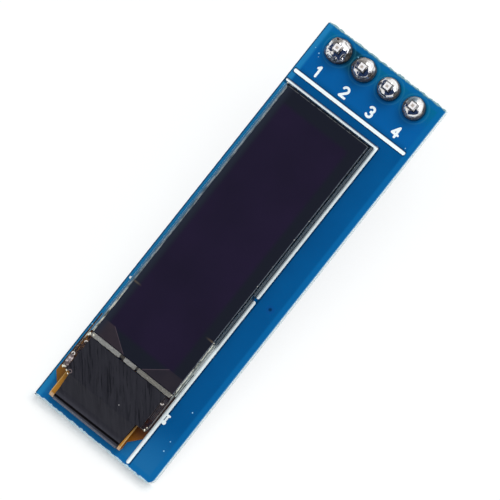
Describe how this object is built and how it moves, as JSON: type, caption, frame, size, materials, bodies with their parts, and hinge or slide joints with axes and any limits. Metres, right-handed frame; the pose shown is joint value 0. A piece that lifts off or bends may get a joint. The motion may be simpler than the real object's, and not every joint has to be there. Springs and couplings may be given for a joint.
{
  "type": "small oled display module",
  "caption": "Narrow oled display glass taped to a slim printed board, with a folded flexible circuit and a row of header pins soldered through one end.",
  "frame": {"origin": "middle of the pin row, on the underside of the header's plastic body, where the header seats on its socket", "axes": "+X along the board from the header end to the folded flexible circuit, +Y across the board from the first pin to the last, +Z out of the display's face; the pins point along -Z"},
  "size_m": [0.0375, 0.012, 0.0111],
  "materials": {
    "board_mask": "glossy blue lacquer over woven glass laminate, pale cut edges",
    "header_plastic": "fine satin moulded plastic",
    "tinned_metal": "bright tin plating, faint drawing lines",
    "solder": "bright smooth solder with a few dull patches",
    "panel_glass": "clear cut glass, faint green at its edges",
    "sealant": "dull grey cured sealant",
    "drying_sheet": "chalky pressed sheet",
    "film_metal": "dark mirror-like layers",
    "polarizer_film": "dark purple-black film, satin gloss",
    "chip_silicon": "polished dark grey",
    "flex_film": "amber polyimide, glossy",
    "black_tape": "charcoal film tape with fine diagonal drawing lines",
    "foam_tape": "pale translucent double-sided tape",
    "white_print": "thick white ink",
    "capacitor_ceramic": "tan fired ceramic with tinned ends",
    "resistor_coat": "black glaze on white ceramic with tinned ends",
    "moulded_case": "fine grained black moulding"
  },
  "bodies": {
    "root": {"board": "board_mask", "header_body": "header_plastic", "substrate_glass": "panel_glass", "cap_glass": "panel_glass", "perimeter_seal": "sealant", "desiccant": "drying_sheet", "emitting_film": "film_metal", "polarizer": "polarizer_film", "edge_bead": "sealant", "driver_chip": "chip_silicon", "flex_ribbon": "flex_film", "flex_joints": "solder", "ledge_tape": "black_tape", "long_mounting_tape": "foam_tape", "short_mounting_tape": "foam_tape", "board_print": "white_print", "chip_part_solder": "solder", "regulator_case": "moulded_case", "regulator_leads": "tinned_metal", "header_pin_1": "tinned_metal", "solder_joint_1": "solder", "header_pin_2": "tinned_metal", "solder_joint_2": "solder", "header_pin_3": "tinned_metal", "solder_joint_3": "solder", "header_pin_4": "tinned_metal", "solder_joint_4": "solder", "capacitor_1": "capacitor_ceramic", "capacitor_2": "capacitor_ceramic", "capacitor_3": "capacitor_ceramic", "capacitor_4": "capacitor_ceramic", "capacitor_5": "capacitor_ceramic", "capacitor_6": "capacitor_ceramic", "capacitor_7": "capacitor_ceramic", "resistor_1": "resistor_coat", "resistor_2": "resistor_coat", "resistor_3": "resistor_coat", "resistor_4": "resistor_coat"}
  },
  "joints": []
}
